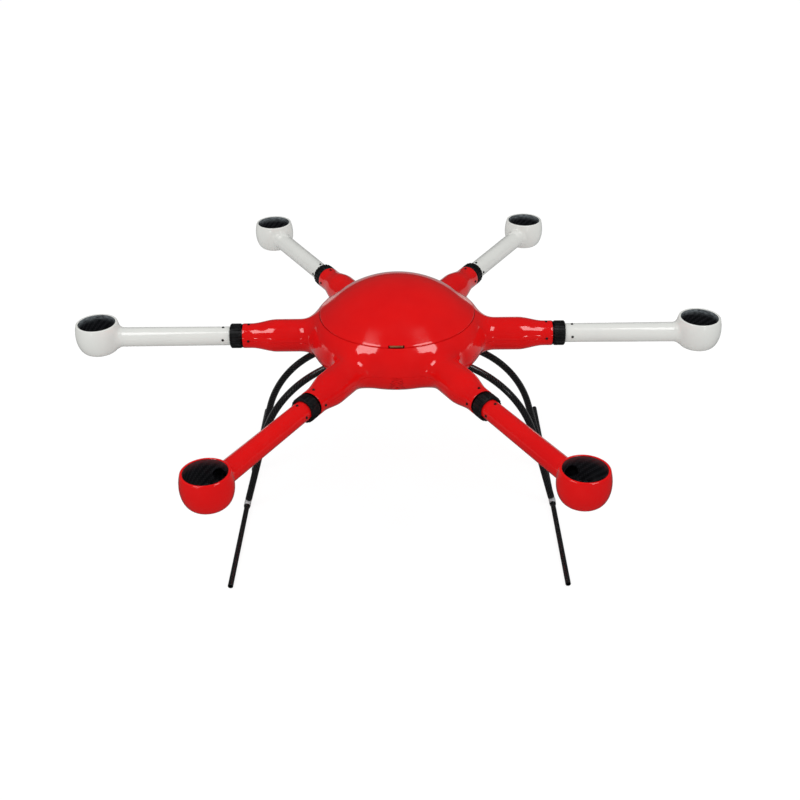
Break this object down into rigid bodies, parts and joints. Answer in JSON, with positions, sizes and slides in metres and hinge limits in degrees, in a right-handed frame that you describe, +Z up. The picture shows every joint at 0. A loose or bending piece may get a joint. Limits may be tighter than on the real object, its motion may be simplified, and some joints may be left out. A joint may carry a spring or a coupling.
{
  "type": "hexacopter airframe",
  "caption": "Multirotor airframe with a round moulded fuselage, domed hatch, quick-detach arms ending in open motor pods, and skid landing gear.",
  "frame": {"origin": "centre of the footprint, on the ground under the skids", "axes": "+Z up, -Y the front, where the hatch latch and the two red arms are, +X the right-hand side"},
  "size_m": [0.8594, 0.7522, 0.3285],
  "materials": {
    "red_lacquer": "high-gloss red lacquer over a moulded composite skin",
    "white_lacquer": "high-gloss white lacquer over a moulded composite skin",
    "brass_latch": "brushed",
    "brass_hinge": "satin",
    "steel_bright": "bright drawn",
    "black_plastic": "fine matt moulded",
    "carbon": "clear-coated twill weave",
    "aluminium": "turned, satin",
    "black_screw": "black oxide",
    "black_collar": "satin moulded, ribbed",
    "carbon_tube": "satin rolled weave",
    "polished_alloy": "polished",
    "black_rubber": "matt"
  },
  "bodies": {
    "fuselage": {"upper_shell": "red_lacquer", "lower_shell": "red_lacquer", "hinge_leaf_shell": "brass_hinge", "hinge_pin": "steel_bright", "latch_housing": "black_plastic", "latch_spring": "steel_bright", "base_plate": "carbon", "top_plate": "carbon", "standoffs": "aluminium", "deck_screws": "black_screw", "shell_screws": "black_screw", "leg_clamps": "black_plastic", "leg_clamp_screws": "black_screw", "socket_screws": "black_screw", "socket_sleeves": "aluminium", "leg_front_right": "carbon_tube", "leg_rear_right": "carbon_tube", "leg_rear_left": "carbon_tube", "leg_front_left": "carbon_tube", "tee_front_right": "polished_alloy", "tee_rear_right": "polished_alloy", "tee_rear_left": "polished_alloy", "tee_front_left": "polished_alloy", "skid_right": "carbon_tube", "skid_left": "carbon_tube", "skid_rings": "black_rubber"},
    "hatch": {"hatch": "red_lacquer", "hinge_leaf_hatch": "brass_hinge"},
    "latch": {"latch_tongue": "brass_latch"},
    "arm_right": {"arm_right": "white_lacquer", "spigot_right": "aluminium", "motor_floor_right": "carbon", "arm_screws_right": "black_screw"},
    "collar_right": {"collar_right": "black_collar"},
    "arm_rear_right": {"arm_rear_right": "white_lacquer", "spigot_rear_right": "aluminium", "motor_floor_rear_right": "carbon", "arm_screws_rear_right": "black_screw"},
    "collar_rear_right": {"collar_rear_right": "black_collar"},
    "arm_rear_left": {"arm_rear_left": "white_lacquer", "spigot_rear_left": "aluminium", "motor_floor_rear_left": "carbon", "arm_screws_rear_left": "black_screw"},
    "collar_rear_left": {"collar_rear_left": "black_collar"},
    "arm_left": {"arm_left": "white_lacquer", "spigot_left": "aluminium", "motor_floor_left": "carbon", "arm_screws_left": "black_screw"},
    "collar_left": {"collar_left": "black_collar"},
    "arm_front_left": {"arm_front_left": "red_lacquer", "spigot_front_left": "aluminium", "motor_floor_front_left": "carbon", "arm_screws_front_left": "black_screw"},
    "collar_front_left": {"collar_front_left": "black_collar"},
    "arm_front_right": {"arm_front_right": "red_lacquer", "spigot_front_right": "aluminium", "motor_floor_front_right": "carbon", "arm_screws_front_right": "black_screw"},
    "collar_front_right": {"collar_front_right": "black_collar"}
  },
  "joints": [
    {"name": "hatch_hinge", "type": "hinge", "parent": "fuselage", "child": "hatch", "pos_m": [0, 0.1037, 0.28612], "axis": [-1, 0, 0], "range_deg": [0, 75]},
    {"name": "latch_slide", "type": "slide", "parent": "fuselage", "child": "latch", "axis": [0, 1, 0], "range_m": [0, 0.003], "stiffness_N_per_m": 400, "springref_m": -0.003},
    {"name": "arm_pull_right", "type": "slide", "parent": "fuselage", "child": "arm_right", "axis": [1, 0, 0], "range_m": [0, 0.05]},
    {"name": "collar_turn_right", "type": "hinge", "parent": "arm_right", "child": "collar_right", "pos_m": [0.215, 0, 0.25], "axis": [1, 0, 0], "range_deg": [0, 540]},
    {"name": "arm_pull_rear_right", "type": "slide", "parent": "fuselage", "child": "arm_rear_right", "axis": [0.5, 0.866, 0], "range_m": [0, 0.05]},
    {"name": "collar_turn_rear_right", "type": "hinge", "parent": "arm_rear_right", "child": "collar_rear_right", "pos_m": [0.1075, 0.18619, 0.25], "axis": [0.5, 0.866, 0], "range_deg": [0, 540]},
    {"name": "arm_pull_rear_left", "type": "slide", "parent": "fuselage", "child": "arm_rear_left", "axis": [-0.5, 0.866, 0], "range_m": [0, 0.05]},
    {"name": "collar_turn_rear_left", "type": "hinge", "parent": "arm_rear_left", "child": "collar_rear_left", "pos_m": [-0.1075, 0.18619, 0.25], "axis": [-0.5, 0.866, 0], "range_deg": [0, 540]},
    {"name": "arm_pull_left", "type": "slide", "parent": "fuselage", "child": "arm_left", "axis": [-1, 0, 0], "range_m": [0, 0.05]},
    {"name": "collar_turn_left", "type": "hinge", "parent": "arm_left", "child": "collar_left", "pos_m": [-0.215, 0, 0.25], "axis": [-1, 0, 0], "range_deg": [0, 540]},
    {"name": "arm_pull_front_left", "type": "slide", "parent": "fuselage", "child": "arm_front_left", "axis": [-0.5, -0.866, 0], "range_m": [0, 0.05]},
    {"name": "collar_turn_front_left", "type": "hinge", "parent": "arm_front_left", "child": "collar_front_left", "pos_m": [-0.1075, -0.18619, 0.25], "axis": [-0.5, -0.866, 0], "range_deg": [0, 540]},
    {"name": "arm_pull_front_right", "type": "slide", "parent": "fuselage", "child": "arm_front_right", "axis": [0.5, -0.866, 0], "range_m": [0, 0.05]},
    {"name": "collar_turn_front_right", "type": "hinge", "parent": "arm_front_right", "child": "collar_front_right", "pos_m": [0.1075, -0.18619, 0.25], "axis": [0.5, -0.866, 0], "range_deg": [0, 540]}
  ]
}
